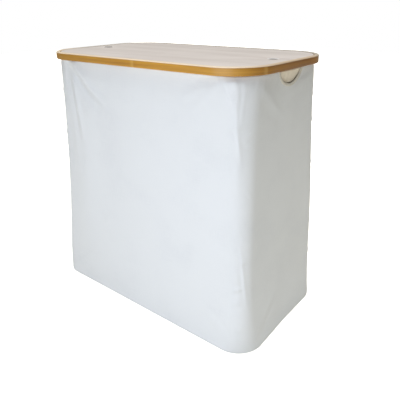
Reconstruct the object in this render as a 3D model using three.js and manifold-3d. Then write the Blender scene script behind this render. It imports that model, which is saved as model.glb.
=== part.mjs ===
// Laundry hamper with two bins: a canvas sleeve hung from a bent bamboo rim, stretched over
// four corner poles, with two removable liner bags and a lid of two leaves that open upwards.
// Millimetres, +Z up, +X along the long side. The hamper stands on z = 0, centred on x = y = 0.

import * as THREE from 'three';
import { mergeVertices } from 'three/addons/utils/BufferGeometryUtils.js';
import Module from 'manifold-3d';

const wasm = await Module();
wasm.setup();

// Driving dimensions of the whole hamper
const height = 600;
const rimLength = 606;
const rimDepth = 338;
const rimCorner = 88;
const rimHeight = 17;
const rimThick = 10;
const baseFlare = 10;
const baseCorner = 57;

// Canvas sleeve and its floor
const clothThick = 1.5;
const wallBow = 11;
const cornerTighten = 16;
const handWidth = 92;
const handDepth = 32;
const bindingWidth = 3.2;
const bindingProud = 0.7;

// Lid leaves, their finger holes and the living hinge between them
const lidThick = 6;
const lidDrop = 1;
const lidClearance = 1.2;
const lidEdgeRound = 0.8;
const fingerHole = 22;
const fingerHoleInset = 40;
const fingerHoleEase = 1.2;
const seamClearance = 0.3;
const webThick = 0.8;
const webSink = 6;
const flapWidth = 14;
const flapThick = 0.6;
const flapEndInset = 6;

// Inner hoop that clamps the canvas, carries the lid and holds the liners
const ringThick = 14;
const rimEdgeRound = 2;
const ringEdgeRound = 1;

// Centre rail under the lid's seam
const railWidth = 24;
const dowelDiameter = 6;
const dowelLength = 22;
const dowelSpacing = 13;

// Wood screws
const screwDiameter = 3;
const screwHeadDiameter = 6;
const screwHeadDepth = 1.8;
const screwBite = 6;
const ringScrewStep = 130;

// Corner poles and their sockets
const poleDiameter = 9;
const socketWall = 2.2;
const socketDepth = 20;
const socketFloor = 3;
const footFlange = 26;
const capScrewLength = 11;
const footScrewLength = 7;

// Base board on the canvas floor
const boardThick = 5;
const boardClearance = 2;

// Liner bags, their hook tape and their handles
const linerThick = 1.2;
const linerTaper = 16;
const linerInnerCorner = 14;
const linerBottomRound = 12;
const linerHemDrop = 1;
const tapeThick = 1.2;
const tapeHeight = 9;
const handleSpan = 104;
const handleWebbing = 25;
const handleThick = 1.5;
const handleDrop = 45;
const handleSeamDrop = 6;

// Clearances and cutting overrun
const gap = 0.3;
const overrun = 5;

// Steps of the round forms
const cornerSteps = 8;
const roundSteps = 24;
const socketSteps = 14;
const fastenerSteps = 8;
const arcSteps = 10;
const bevelSteps = 2;
const wallLevels = 12;
const tightenSteepness = 4;
const weldTolerance = 0.0001;

// Share of the liner's height below which it tapers, and shares of its bottom's round
const linerStraightShare = 0.7;
const linerRoundHeightShare = 0.25;
const linerRoundInsetShare = 0.33;
const linerInnerTaperShare = 0.5;

// Places of the hoop's screws and of the rail's dowels, as shares of their steps
const ringScrewShares = [-1.5, -0.5, 0.5, 1.5];
const dowelShares = [-0.5, 0.5];

// Levels and outlines that several pieces follow
const rimBottom = height - rimHeight;
const lidTop = height - lidDrop;
const lidBottom = lidTop - lidThick;
const ringTop = lidBottom - gap;
const ringHeight = ringTop - rimBottom;
const ringMiddle = (ringTop + rimBottom) / 2;
const floorTop = clothThick;
const boardBottom = floorTop + gap;
const boardTop = boardBottom + boardThick;
const rimOuter = { length: rimLength, depth: rimDepth, corner: rimCorner };
const rimInner = inset(rimOuter, rimThick);
const baseOuter = { ...inset(rimInner, -baseFlare), corner: baseCorner };
const clampOuter = inset(rimInner, gap);
const ringOuter = inset(clampOuter, clothThick + gap);
const ringInner = inset(ringOuter, ringThick);
const ringCentre = inset(ringOuter, ringThick / 2);
const tapeOuter = inset(ringInner, gap);
const linerOuter = inset(tapeOuter, tapeThick + gap);
const lidOutline = inset(rimInner, lidClearance);
const leafEdge = webThick / 2 + seamClearance;
const linerEdge = railWidth / 2 + gap + tapeThick + gap;

// Materials
const bamboo = material(0xc08a45, 0.45);
const paleBamboo = material(0xcfa767, 0.55);
const lidWood = material(0xd6ccc6, 0.5);
const canvas = material(0xe3e8ec, 0.85);
const liner = material(0xe6dccb, 0.9);
const webbing = material(0xd9cdb8, 0.85);
const board = material(0xb99f7c, 0.8);
const plastic = material(0xf0efec, 0.4);
const hookTape = material(0xe8e4da, 0.95);
const steel = material(0xb8babd, 0.35, 0.9);

const hamper = new THREE.Group();

function material(color, roughness, metalness = 0) {
  return new THREE.MeshStandardMaterial({ color, roughness, metalness });
}

function addEach(name, geometries, look) {
  geometries.forEach((geometry, i) => add(`${name}_${i + 1}`, geometry, look));
}

function add(name, geometry, look) {
  const mesh = new THREE.Mesh(geometry, look);
  mesh.name = name;
  hamper.add(mesh);
  return mesh;
}

// A rounded rectangle drawn in by the same distance on every side
function inset(outline, distance) {
  return {
    length: outline.length - 2 * distance,
    depth: outline.depth - 2 * distance,
    corner: outline.corner - distance,
  };
}

// Points of a rounded rectangle, counterclockwise; corners go from (+x, +y) round to (+x, -y)
function ringPoints(box, corners, z) {
  const points = [];
  const centres = [
    [box.x1 - corners[0], box.y1 - corners[0]],
    [box.x0 + corners[1], box.y1 - corners[1]],
    [box.x0 + corners[2], box.y0 + corners[2]],
    [box.x1 - corners[3], box.y0 + corners[3]],
  ];
  centres.forEach(([cx, cy], i) => {
    for (let step = 0; step <= cornerSteps; step += 1) {
      const angle = (i + step / cornerSteps) * Math.PI / 2;
      points.push(new THREE.Vector3(
        cx + corners[i] * Math.cos(angle),
        cy + corners[i] * Math.sin(angle),
        z,
      ));
    }
  });
  return points;
}

function outlinePoints(outline, z) {
  const box = {
    x0: -outline.length / 2, x1: outline.length / 2,
    y0: -outline.depth / 2, y1: outline.depth / 2,
  };
  return ringPoints(box, Array(4).fill(outline.corner), z);
}

function flatShape(points) {
  return new THREE.Shape(points.map((p) => new THREE.Vector2(p.x, p.y)));
}

function extrudeUp(shape, z, depth, round = 0) {
  const geometry = new THREE.ExtrudeGeometry(shape, {
    depth: depth - 2 * round,
    bevelEnabled: round > 0,
    bevelThickness: round,
    bevelSize: round,
    bevelOffset: -round,
    bevelSegments: bevelSteps,
  });
  return geometry.translate(0, 0, z + round);
}

// A flat shape drawn in the y-z plane, extruded along x from x0
function extrudeAlongX(shape, x0, depth) {
  const geometry = new THREE.ExtrudeGeometry(shape, { depth, bevelEnabled: false, curveSegments: arcSteps });
  const turn = new THREE.Matrix4().makeBasis(
    new THREE.Vector3(0, 1, 0),
    new THREE.Vector3(0, 0, 1),
    new THREE.Vector3(1, 0, 0),
  );
  return geometry.applyMatrix4(turn).translate(x0, 0, 0);
}

// A flat shape drawn in the x-z plane, extruded towards -y from y0
function extrudeAlongY(shape, y0, depth) {
  const geometry = new THREE.ExtrudeGeometry(shape, { depth, bevelEnabled: false, curveSegments: arcSteps });
  return geometry.rotateX(Math.PI / 2).translate(0, y0, 0);
}

// A closed hoop between two rounded rectangles
function hoop(outer, inner, z, depth, round = 0) {
  const shape = flatShape(outlinePoints(outer, 0));
  shape.holes.push(new THREE.Path(outlinePoints(inner, 0).map((p) => new THREE.Vector2(p.x, p.y))));
  return extrudeUp(shape, z, depth, round);
}

// Skin through a list of rings with equal point counts: closed round like a tube, or capped at both ends
function loft(rings, capped) {
  const count = rings[0].length;
  const positions = rings.flat().flatMap((p) => [p.x, p.y, p.z]);
  const index = [];
  const spans = capped ? rings.length - 1 : rings.length;
  for (let i = 0; i < spans; i += 1) {
    const low = i * count;
    const high = ((i + 1) % rings.length) * count;
    for (let j = 0; j < count; j += 1) {
      const k = (j + 1) % count;
      index.push(low + j, low + k, high + k, low + j, high + k, high + j);
    }
  }
  if (capped) {
    [0, rings.length - 1].forEach((ringIndex) => {
      const first = ringIndex * count;
      const centre = positions.length / 3;
      const middle = rings[ringIndex].reduce((sum, p) => sum.add(p), new THREE.Vector3());
      middle.divideScalar(count);
      positions.push(middle.x, middle.y, middle.z);
      for (let j = 0; j < count; j += 1) {
        const k = (j + 1) % count;
        if (ringIndex === 0) index.push(centre, first + k, first + j);
        else index.push(centre, first + j, first + k);
      }
    });
  }
  const geometry = new THREE.BufferGeometry();
  geometry.setAttribute('position', new THREE.Float32BufferAttribute(positions, 3));
  geometry.setIndex(index);
  geometry.computeVertexNormals();
  return geometry;
}

function toSolid(geometry) {
  const bare = geometry.clone();
  bare.deleteAttribute('normal');
  bare.deleteAttribute('uv');
  const merged = mergeVertices(bare, weldTolerance);
  return new wasm.Manifold(new wasm.Mesh({
    numProp: 3,
    vertProperties: new Float32Array(merged.attributes.position.array),
    triVerts: new Uint32Array(merged.index.array),
  }));
}

function toGeometry(solid) {
  const mesh = solid.getMesh();
  const geometry = new THREE.BufferGeometry();
  geometry.setAttribute('position', new THREE.Float32BufferAttribute(mesh.vertProperties, 3));
  geometry.setIndex([...mesh.triVerts]);
  geometry.computeVertexNormals();
  return geometry;
}

function cut(geometry, cutters) {
  return toGeometry(cutters.reduce((solid, cutter) => solid.subtract(toSolid(cutter)), toSolid(geometry)));
}

// A turned solid from a closed half profile of [radius, height] pairs
function turned(profile, steps) {
  const geometry = new THREE.LatheGeometry(profile.map(([r, h]) => new THREE.Vector2(r, h)), steps);
  return geometry.rotateX(Math.PI / 2);
}

function rod(diameter, z0, z1, steps) {
  return turned([[0, z0], [diameter / 2, z0], [diameter / 2, z1], [0, z1]], steps);
}

// A countersunk screw along +z: its flat head at z = 0, its tip at z = length
function screw(length, clearance = 0) {
  const head = screwHeadDiameter / 2 + clearance;
  const shank = screwDiameter / 2 + clearance;
  const mouth = clearance > 0 ? -overrun : 0;
  const tip = length + clearance;
  const taperEnd = screwHeadDepth + clearance;
  const profile = [[0, mouth], [head, mouth]];
  if (clearance > 0) profile.push([head, 0]);
  profile.push([shank, taperEnd], [shank, tip - shank], [0, tip]);
  return turned(profile, fastenerSteps);
}

// Screws that pass from the inner hoop out into the rim band, as places and outward directions
function ringScrewPlaces() {
  const places = [];
  const alongX = ringScrewShares.map((share) => share * ringScrewStep);
  [-1, 1].forEach((side) => {
    alongX.forEach((x) => places.push({ x, y: side * ringInner.depth / 2, turn: side * Math.PI / 2 }));
    places.push({ x: side * ringInner.length / 2, y: 0, turn: side > 0 ? 0 : Math.PI });
  });
  return places;
}

const ringScrewLength = ringThick + clothThick + 2 * gap + screwBite;

function ringScrews(clearance) {
  return ringScrewPlaces().map(({ x, y, turn }) => (
    screw(ringScrewLength, clearance).rotateY(Math.PI / 2).rotateZ(turn).translate(x, y, ringMiddle)
  ));
}

// Rim: the outer band and the inner hoop whose top is the lid's seat
const dowelPlaces = [-1, 1].flatMap((side) => (
  dowelShares.map((share) => ({ side, x: share * dowelSpacing }))
));

function dowel({ side, x }, clearance = 0) {
  const middle = side * (ringInner.depth / 2);
  const length = dowelLength + 2 * clearance;
  return rod(dowelDiameter + 2 * clearance, -length / 2, length / 2, fastenerSteps)
    .rotateX(Math.PI / 2)
    .translate(x, middle, ringMiddle);
}

add('rim_band', cut(hoop(rimOuter, rimInner, rimBottom, rimHeight, rimEdgeRound), ringScrews(gap)), bamboo);

// Poles stand under the middle of the hoop, halfway round each of its corners
const poleReach = ringCentre.corner * (1 - Math.SQRT1_2);
const poleX = ringCentre.length / 2 - poleReach;
const poleY = ringCentre.depth / 2 - poleReach;
const polePlaces = [
  { name: 'front_left', x: -poleX, y: -poleY },
  { name: 'front_right', x: poleX, y: -poleY },
  { name: 'back_left', x: -poleX, y: poleY },
  { name: 'back_right', x: poleX, y: poleY },
];

const capTop = rimBottom - gap;
const capScrewTop = capTop - socketFloor;

function capScrews(clearance) {
  return polePlaces.map(({ x, y }) => screw(capScrewLength, clearance).translate(x, y, capScrewTop));
}

add('ledge_ring', cut(
  hoop(ringOuter, ringInner, rimBottom, ringHeight, ringEdgeRound),
  [...ringScrews(gap), ...dowelPlaces.map((place) => dowel(place, gap)), ...capScrews(gap)],
), paleBamboo);
addEach('ring_screw', ringScrews(0), steel);

// Canvas sleeve: lofted from the base to the rim. Between them its own tension draws the walls in,
// while the corner poles hold the corners out, so the corners are tighter there than at both ends.
const wallBottom = floorTop + gap;

function wallOutline(z, drawnIn) {
  const share = Math.min((z - wallBottom) / (rimBottom - wallBottom), 1);
  const bow = wallBow * 4 * share * (1 - share) + drawnIn;
  const tighter = cornerTighten * (1 - Math.abs(2 * share - 1) ** tightenSteepness);
  const between = (low, high) => low + (high - low) * share;
  return inset({
    length: between(baseOuter.length, clampOuter.length),
    depth: between(baseOuter.depth, clampOuter.depth),
    corner: between(baseOuter.corner, clampOuter.corner) - tighter,
  }, bow);
}

function wallRings(drawnIn) {
  const rings = [];
  for (let level = 0; level <= wallLevels; level += 1) {
    const z = wallBottom + (rimBottom - wallBottom) * level / wallLevels;
    rings.push(outlinePoints(wallOutline(z, drawnIn), z));
  }
  rings.push(outlinePoints(wallOutline(rimBottom, drawnIn), ringTop));
  return rings;
}

// The hand opening is the part of a circle below the rim's bottom edge
const handRadius = ((handWidth / 2) ** 2 + handDepth ** 2) / (2 * handDepth);
const handCentre = rimBottom - handDepth + handRadius;

// Angle from straight down at which a circle of this radius reaches a level
function angleAt(radius, level) {
  return Math.acos((handCentre - level) / radius);
}

function handSegment(radius, level) {
  const half = angleAt(radius, level);
  const shape = new THREE.Shape();
  shape.absarc(0, handCentre, radius, -Math.PI / 2 - half, -Math.PI / 2 + half, false);
  return shape;
}

function bindingShape() {
  const outer = handRadius - gap;
  const inner = outer - bindingWidth;
  const level = rimBottom - gap;
  const outerHalf = angleAt(outer, level);
  const innerHalf = angleAt(inner, level);
  const shape = new THREE.Shape();
  shape.absarc(0, handCentre, outer, -Math.PI / 2 - outerHalf, -Math.PI / 2 + outerHalf, false);
  shape.absarc(0, handCentre, inner, -Math.PI / 2 + innerHalf, -Math.PI / 2 - innerHalf, true);
  return shape;
}

const sides = [['left', -1], ['right', 1]];

const handWallX = wallOutline(rimBottom - handDepth, 0).length / 2 - clothThick / 2;
const handCutters = sides.map(([, side]) => (
  extrudeAlongX(handSegment(handRadius, rimBottom), side * handWallX - overrun, 2 * overrun)
));
const wall = loft([...wallRings(0), ...wallRings(clothThick).reverse()], false);
add('canvas_wall', cut(wall, [...handCutters, ...ringScrews(gap)]), canvas);

sides.forEach(([name, side]) => {
  const width = clothThick + 2 * bindingProud;
  add(`hand_binding_${name}`, extrudeAlongX(bindingShape(), side * handWallX - width / 2, width), webbing);
});

add('canvas_floor', extrudeUp(flatShape(outlinePoints(baseOuter, 0)), 0, clothThick), canvas);

// Base board, corner poles and their sockets
const footBottom = boardTop + gap;
const footScrewTop = footBottom + socketFloor;
const boardOutline = inset(baseOuter, clothThick + boardClearance);

function footScrews(clearance) {
  return polePlaces.map(({ x, y }) => (
    screw(footScrewLength, clearance).rotateX(Math.PI).translate(x, y, footScrewTop)
  ));
}

add('base_board', cut(
  extrudeUp(flatShape(outlinePoints(boardOutline, 0)), boardBottom, boardThick),
  footScrews(gap),
), board);

const socketBore = poleDiameter / 2 + gap;
const socketOuter = socketBore + socketWall;

// A cup that stands on its floor and opens upwards, with a flange of the given radius
function socket(flange) {
  return turned([
    [0, 0],
    [flange, 0],
    [flange, socketFloor - gap],
    [socketOuter, socketFloor],
    [socketOuter, socketDepth],
    [socketBore, socketDepth],
    [socketBore, socketFloor],
    [0, socketFloor],
  ], socketSteps);
}

function turnedOver(geometry) {
  return geometry.rotateX(Math.PI);
}

polePlaces.forEach(({ name, x, y }) => {
  const foot = socket(footFlange / 2).translate(x, y, footBottom);
  add(`pole_foot_${name}`, cut(foot, footScrews(gap)), plastic);
  const cap = turnedOver(socket(socketOuter)).translate(x, y, capTop);
  add(`pole_cap_${name}`, cut(cap, capScrews(gap)), plastic);
  const pole = rod(poleDiameter, footScrewTop + gap, capScrewTop - gap, socketSteps).translate(x, y, 0);
  add(`corner_pole_${name}`, pole, paleBamboo);
});
addEach('pole_foot_screw', footScrews(0), steel);
addEach('pole_cap_screw', capScrews(0), steel);

// Centre rail across the hoop, under the lid's seam, on two dowels at each end
const railHalf = railWidth / 2;
const railLength = ringInner.depth - 2 * gap;

function slab(x0, x1, y0, y1, z0, z1) {
  return new THREE.BoxGeometry(x1 - x0, y1 - y0, z1 - z0)
    .translate((x0 + x1) / 2, (y0 + y1) / 2, (z0 + z1) / 2);
}

const webBottom = ringTop - webSink;
const groove = slab(
  -webThick / 2 - gap, webThick / 2 + gap,
  -railLength / 2 - overrun, railLength / 2 + overrun,
  webBottom - gap, ringTop + overrun,
);
add('centre_rail', cut(
  slab(-railHalf, railHalf, -railLength / 2, railLength / 2, rimBottom, ringTop),
  [groove, ...dowelPlaces.map((place) => dowel(place, gap))],
), paleBamboo);
addEach('rail_dowel', dowelPlaces.map((place) => dowel(place)), paleBamboo);

// Living hinge: a web held in the rail's groove, and a flap let into the top of each leaf
const webTop = lidTop - flapThick;
add('hinge_web', slab(
  -webThick / 2, webThick / 2,
  -railLength / 2, railLength / 2,
  webBottom, webTop,
), webbing);

// Half of a rounded rectangle, from edge outwards on the side named by its sign
function halfOutline(outline, edge, side, z) {
  const outer = side * outline.length / 2;
  const inner = side * edge;
  const box = {
    x0: Math.min(outer, inner), x1: Math.max(outer, inner),
    y0: -outline.depth / 2, y1: outline.depth / 2,
  };
  const round = outline.corner;
  const tight = outline.innerCorner ?? 0;
  const corners = side > 0 ? [round, tight, tight, round] : [tight, round, round, tight];
  return ringPoints(box, corners, z);
}

// A square corner has one place, so its repeated points are dropped
function withoutRepeats(points) {
  return points.filter((p, i) => p.distanceTo(points[(i + 1) % points.length]) > weldTolerance);
}

// A plain bore whose upper edge is eased where fingers go in
function fingerHoleCutter() {
  const radius = fingerHole / 2;
  return turned([
    [0, lidBottom - overrun],
    [radius, lidBottom - overrun],
    [radius, lidTop - fingerHoleEase],
    [radius + fingerHoleEase, lidTop],
    [radius + fingerHoleEase, lidTop + overrun],
    [0, lidTop + overrun],
  ], roundSteps);
}

const flapDepth = rimInner.depth - 2 * (lidClearance + flapEndInset);

sides.forEach(([name, side]) => {
  const plan = flatShape(withoutRepeats(halfOutline(lidOutline, leafEdge, side, 0)));
  const holeX = side * (lidOutline.length / 2 - fingerHoleInset);
  const hole = fingerHoleCutter().translate(holeX, 0, 0);
  const flapInner = side * leafEdge;
  const flapOuter = side * (leafEdge + flapWidth);
  const rebate = slab(
    Math.min(flapInner - side * overrun, flapOuter + side * gap),
    Math.max(flapInner - side * overrun, flapOuter + side * gap),
    -flapDepth / 2 - gap, flapDepth / 2 + gap,
    lidTop - flapThick - gap, lidTop + overrun,
  );
  const leaf = cut(extrudeUp(plan, lidBottom, lidThick, lidEdgeRound), [hole, rebate]);
  add(`lid_leaf_${name}`, leaf, lidWood);
  add(`hinge_flap_${name}`, slab(
    Math.min(flapInner, flapOuter), Math.max(flapInner, flapOuter),
    -flapDepth / 2, flapDepth / 2,
    lidTop - flapThick, lidTop,
  ), webbing);
});

// Liner bags: lofted shells that hang straight from the hoop, then draw in towards the floor
const linerBottom = boardTop + gap;
const linerTop = ringTop - linerHemDrop;
const linerHeight = linerTop - linerBottom;

function linerRing(z, side, drawnIn) {
  const share = (z - linerBottom) / linerHeight;
  const taper = linerTaper * Math.max(0, 1 - share / linerStraightShare);
  const outline = inset(linerOuter, taper + drawnIn);
  outline.innerCorner = linerInnerCorner - drawnIn;
  return halfOutline(outline, linerEdge + taper * linerInnerTaperShare + drawnIn, side, z);
}

function linerBag(side) {
  const straightZ = linerBottom + linerHeight * linerStraightShare;
  const roundZ = linerBottomRound * linerRoundHeightShare;
  const roundIn = linerBottomRound * linerRoundInsetShare;
  const skin = (thick) => [
    linerRing(linerBottom + thick, side, linerBottomRound + thick),
    linerRing(linerBottom + roundZ + thick, side, roundIn + thick),
    linerRing(linerBottom + linerBottomRound + thick, side, thick),
    linerRing(straightZ, side, thick),
    linerRing(linerTop, side, thick),
  ];
  return loft([...skin(0), ...skin(linerThick).reverse()], true);
}

// A webbing loop that hangs flat against the inside of the liner, below its hem
function handleShape(centreX) {
  const outer = handleSpan / 2;
  const inner = outer - handleWebbing;
  const top = linerTop - handleSeamDrop;
  const turnZ = top - handleDrop;
  const shape = new THREE.Shape();
  shape.moveTo(centreX - outer, top);
  shape.lineTo(centreX - outer, turnZ);
  shape.absarc(centreX, turnZ, outer, Math.PI, 2 * Math.PI, false);
  shape.lineTo(centreX + outer, top);
  shape.lineTo(centreX + inner, top);
  shape.lineTo(centreX + inner, turnZ);
  shape.absarc(centreX, turnZ, inner, 2 * Math.PI, Math.PI, true);
  shape.lineTo(centreX - inner, top);
  return shape;
}

sides.forEach(([name, side]) => {
  add(`liner_bag_${name}`, linerBag(side), liner);
  const handleX = side * (linerEdge + linerOuter.length / 2) / 2;
  const wallFace = linerOuter.depth / 2 - linerThick - gap;
  add(`liner_handle_${name}_front`,
    extrudeAlongY(handleShape(handleX), -wallFace + handleThick, handleThick), webbing);
  add(`liner_handle_${name}_back`,
    extrudeAlongY(handleShape(handleX), wallFace, handleThick), webbing);
});

// Hook tape round the inside of each half of the hoop and along the rail, facing its liner
sides.forEach(([name, side]) => {
  const edge = railHalf + gap;
  const outer = { ...tapeOuter, innerCorner: 0 };
  const inner = { ...inset(tapeOuter, tapeThick), innerCorner: 0 };
  const plan = flatShape(withoutRepeats(halfOutline(outer, edge, side, 0)));
  const opening = withoutRepeats(halfOutline(inner, edge + tapeThick, side, 0));
  plan.holes.push(new THREE.Path(opening.map((p) => new THREE.Vector2(p.x, p.y))));
  const low = ringMiddle - tapeHeight / 2;
  add(`hook_tape_${name}`, extrudeUp(plan, low, tapeHeight), hookTape);
});

export default hamper;
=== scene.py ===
import math
import random

import bmesh
import bpy
import numpy as np
from mathutils import Matrix, Vector, noise


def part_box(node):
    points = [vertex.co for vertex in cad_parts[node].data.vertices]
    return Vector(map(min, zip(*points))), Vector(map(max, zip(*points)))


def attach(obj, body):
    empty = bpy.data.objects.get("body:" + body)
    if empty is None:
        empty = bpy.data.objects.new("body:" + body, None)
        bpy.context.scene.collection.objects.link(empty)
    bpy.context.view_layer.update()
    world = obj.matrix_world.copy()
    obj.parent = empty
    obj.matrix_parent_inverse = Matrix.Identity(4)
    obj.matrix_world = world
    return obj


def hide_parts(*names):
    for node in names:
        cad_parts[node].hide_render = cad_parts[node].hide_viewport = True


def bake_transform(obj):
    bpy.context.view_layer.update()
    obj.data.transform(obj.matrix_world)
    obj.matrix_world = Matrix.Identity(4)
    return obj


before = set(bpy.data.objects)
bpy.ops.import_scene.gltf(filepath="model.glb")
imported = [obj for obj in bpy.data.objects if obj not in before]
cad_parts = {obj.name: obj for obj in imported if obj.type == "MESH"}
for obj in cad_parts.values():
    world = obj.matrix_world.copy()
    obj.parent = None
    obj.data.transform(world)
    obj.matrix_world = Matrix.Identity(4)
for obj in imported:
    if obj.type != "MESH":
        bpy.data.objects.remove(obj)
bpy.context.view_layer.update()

MM = 0.001
QUARTER = math.pi / 2
ENDS = (("left", -1), ("right", 1))

# Camera: where it looks from, and how the photograph is cropped
CAMERA_AZIMUTH = 0.683886
CAMERA_ELEVATION = 0.310066
CAMERA_DISTANCE = 1.127514
CAMERA_TARGET = (0.058164, 0, 0.364561)
CAMERA_ROLL = -0.013057
CAMERA_LENS = 41.994
CAMERA_SENSOR = 36
CAMERA_SHIFT_Y = -0.12

# Studio
WHITE = (1, 1, 1)
FLOOR_HALF = 6
FLOOR_DEPTH = 0.02
FLOOR_COLOUR = (0.66, 0.64, 0.57)
SURROUND = 0.103
SURROUND_COLOUR = (1.0, 0.98, 0.87)
OVERHEAD = 3.22
OVERHEAD_ANGLE = 48
OVERHEAD_COLOUR = (1.0, 0.99, 0.98)
# Soft lights: place, target, size, power and colour
SOFT_LIGHTS = {
    "key": ((0.3, -1.08, 0.47), (0.1, 0, 0.3), (0.8, 0.85), 5.95, (0.82, 0.875, 1.0)),
    "fill": ((0.85, 0.05, 0.06), (0.3, 0, 0.1), (0.5, 0.2), 0.28, (1.0, 0.98, 0.88)),
}

# Rim and hoop, beyond what the frame's boxes say
RIM_CORNER = 88 * MM
RIM_THICK = 10 * MM
RIM_ROUND = 2 * MM
RING_THICK = 14 * MM
RING_ROUND = 1 * MM
RIM_ROUND_STEPS = 5
RING_ROUND_STEPS = 3
GAP = 0.3 * MM
# Lengths along the rim and round its section, and where its upper edge begins
RIM_LENGTH = 1737 * MM
RIM_LOOP = 50.6 * MM
EDGE_START = 1 * MM
# Tones of the upper edge and of the whole rim, at shares of its length, with painted light in both
# Upper edge: pale as sanded bamboo, brightened at the front by a painted highlight, darkened on the
# right end by painted shade, and grey at the back and left end as the painted shadow of the lid's gap
EDGE_FRONT_PALE_AND_HIGHLIGHT = (0.84, 0.72, 0.56)
EDGE_END_PALE_AND_SHADE = (0.66, 0.54, 0.41)
EDGE_BACK_PAINTED_SHADE = (0.50, 0.49, 0.45)
EDGE_TONES_AND_PAINTED_LIGHT = [(0.0, EDGE_BACK_PAINTED_SHADE), (0.27, EDGE_BACK_PAINTED_SHADE), (0.33, EDGE_FRONT_PALE_AND_HIGHLIGHT), (0.64, EDGE_FRONT_PALE_AND_HIGHLIGHT),
              (0.70, EDGE_END_PALE_AND_SHADE), (0.79, EDGE_END_PALE_AND_SHADE), (0.83, EDGE_BACK_PAINTED_SHADE)]
# Rim multipliers: its own tone, darker towards the left end; a bluish brightening before the front right
# corner is a painted highlight, and the darker right end is painted shade
RIM_TONES_AND_PAINTED_LIGHT = [(0.2, 0.9), (0.37, 0.82), (0.47, 1.0), (0.60, (1.13, 1.16, 1.22)),
             (0.645, (1.11, 1.17, 1.30)), (0.69, (0.70, 0.63, 0.53)), (0.78, (0.56, 0.46, 0.30)),
             (0.9, 0.8)]
# Knuckles of the stalk: their distance, and a pale and a deep line at shares of it
KNUCKLE_STEP = 310 * MM
KNUCKLE_SHIFT = 0.616
KNUCKLE_WANDER = 0.012
KNUCKLE_PALE = [(0.462, 0.0), (0.478, 0.3), (0.492, 0.3), (0.502, 0.0)]
KNUCKLE_DEEP = [(0.497, 0.0), (0.503, 0.25), (0.512, 0.1), (0.53, 0.0)]

# Canvas. Lists of four go round its corners: back left, front left, front right, back right.
CLOTH_THICK = 1.4 * MM
BASE_CORNER = 57 * MM
BASE_CORNERS = (57 * MM, 57 * MM, 64 * MM, 61 * MM)
# How far the sleeve is drawn in, in millimetres, at shares of its height
BOW_FRONT_LEFT = [(0, -2.0), (0.12, 2.0), (0.3, 7.2), (0.5, 9.3), (0.68, 9.2), (0.82, 6.6),
                  (0.92, 3.2), (1, 0)]
BOW_BACK_RIGHT = [(0, 0), (0.08, 4.0), (0.2, 7.2), (0.35, 6.2), (0.5, 5.3), (0.7, 5.2), (0.84, 4.5),
                  (0.93, 2.4), (1, 0)]
# The base's right end stands askew: how far, the back's share of it, up to which share of the height,
# and between which shares of the length it sets in
ASKEW = 8 * MM
ASKEW_BACK_SHARE = 0.2
ASKEW_HEIGHT = 0.4
ASKEW_START = 0.4
ASKEW_FULL = 0.85
# How much sharper the corners are at mid-height, and how flat that curve is
CORNER_TIGHTENS = (16 * MM, 16 * MM, 25 * MM, 16 * MM)
TIGHTEN_STEEPNESS = (4, 4, 7, 4)
# Soft upright ridges under the rim, over the corner poles
RIDGE_RISE = 5 * MM
RIDGE_WIDTH = 19 * MM
RIDGE_ROUND = 3 * MM
RIDGE_TOP = 13 * MM
RIDGE_LENGTH = 260 * MM
RIDGE_SHARES = (0.5, 0.15, 1.25, 0.05)
RIDGE_SHIFTS = (0, 0, -17 * MM, 0)
HAND_WIDTH = 92 * MM
HAND_DEPTH = 32 * MM
LEVEL_STEP = 0.25 * MM
WALL_ROWS = 140
# Columns along a long side, over a hand opening and round a corner, and beside each opening
WALL_COLUMNS = (96, 30, 40)
BESIDE_COLUMNS = 4
# Passes in which the edge of a hand opening is found
EDGE_PASSES = 4
CLAMP_MIDDLE = 4.8 * MM
# Scales of the cloth's broad and fine unevenness along X, Y and Z, and how much the fine one adds
WALL_WAVES = ((6, 6, 3.5), (21, 21, 12))
LINER_WAVES = ((11, 11, 4), (34, 34, 14))
LINER_WAVE_SHIFTS = np.array([(5, 0, 0), (0, 3, 0)])
FINE_SHARE = 0.4
WALL_UNEVEN = 1.6 * MM
# Lengths over which unevenness and folds fade out, above the floor and below the rim
UNEVEN_FADES = (30 * MM, 12 * MM)
FOLD_FADES = (6 * MM, 6 * MM)
# Hem: a fold of the sleeve that turns under at the floor
HEM_HEIGHT = 10 * MM
HEM_FADE = 1 * MM
HEM_TUCK = 12 * MM
HEM_STEP = 0.4 * MM
HEM_STITCH_Z = 6.5 * MM
HEM_STITCH_PLACES = 1800
HEM_ROUND = 2.5 * MM
HEM_STEPS = 4
FLOOR_INSET = 2.5 * MM
FLOOR_LEVEL = 1.5 * MM
FLOOR_THICK = 0.7 * MM

# Folds. A ridge tapers to its ends, and a valley runs beside it, sized by shares of the ridge.
TAPER_POWER = 0.7
VALLEY_SHIFT = 1.7
VALLEY_WIDTH = 1.1
VALLEY_DEPTH = 0.7
# Folds that the photograph shows, in millimetres: start and end, then width and rise. They are
# measured up from the rim, and along the wall from where the front's flat part starts or, for the
# right ones, from the middle of the front right corner.
LEFT_FOLDS = [
    (-12, 26, 126, -100, 10, 5.4), (16, -10, 54, -200, 9.5, 4.4), (10, -80, 30, -300, 11, 1.6),
    (62, -30, 50, -500, 36, 5.4), (0, -8, 140, -50, 9, 1),
]
RIGHT_FOLDS = [
    (-34, -6, -20, -60, 5, 1), (-40, -6, -150, -55, 10, 1.8), (8, -6, -6, -95, 5.5, 0.7),
    (-10, -14, -12, -52, 3.5, 0.8), (-22, -80, -4, -170, 6, 1.2), (-6, -330, 20, -470, 8, 1.2),
]
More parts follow.
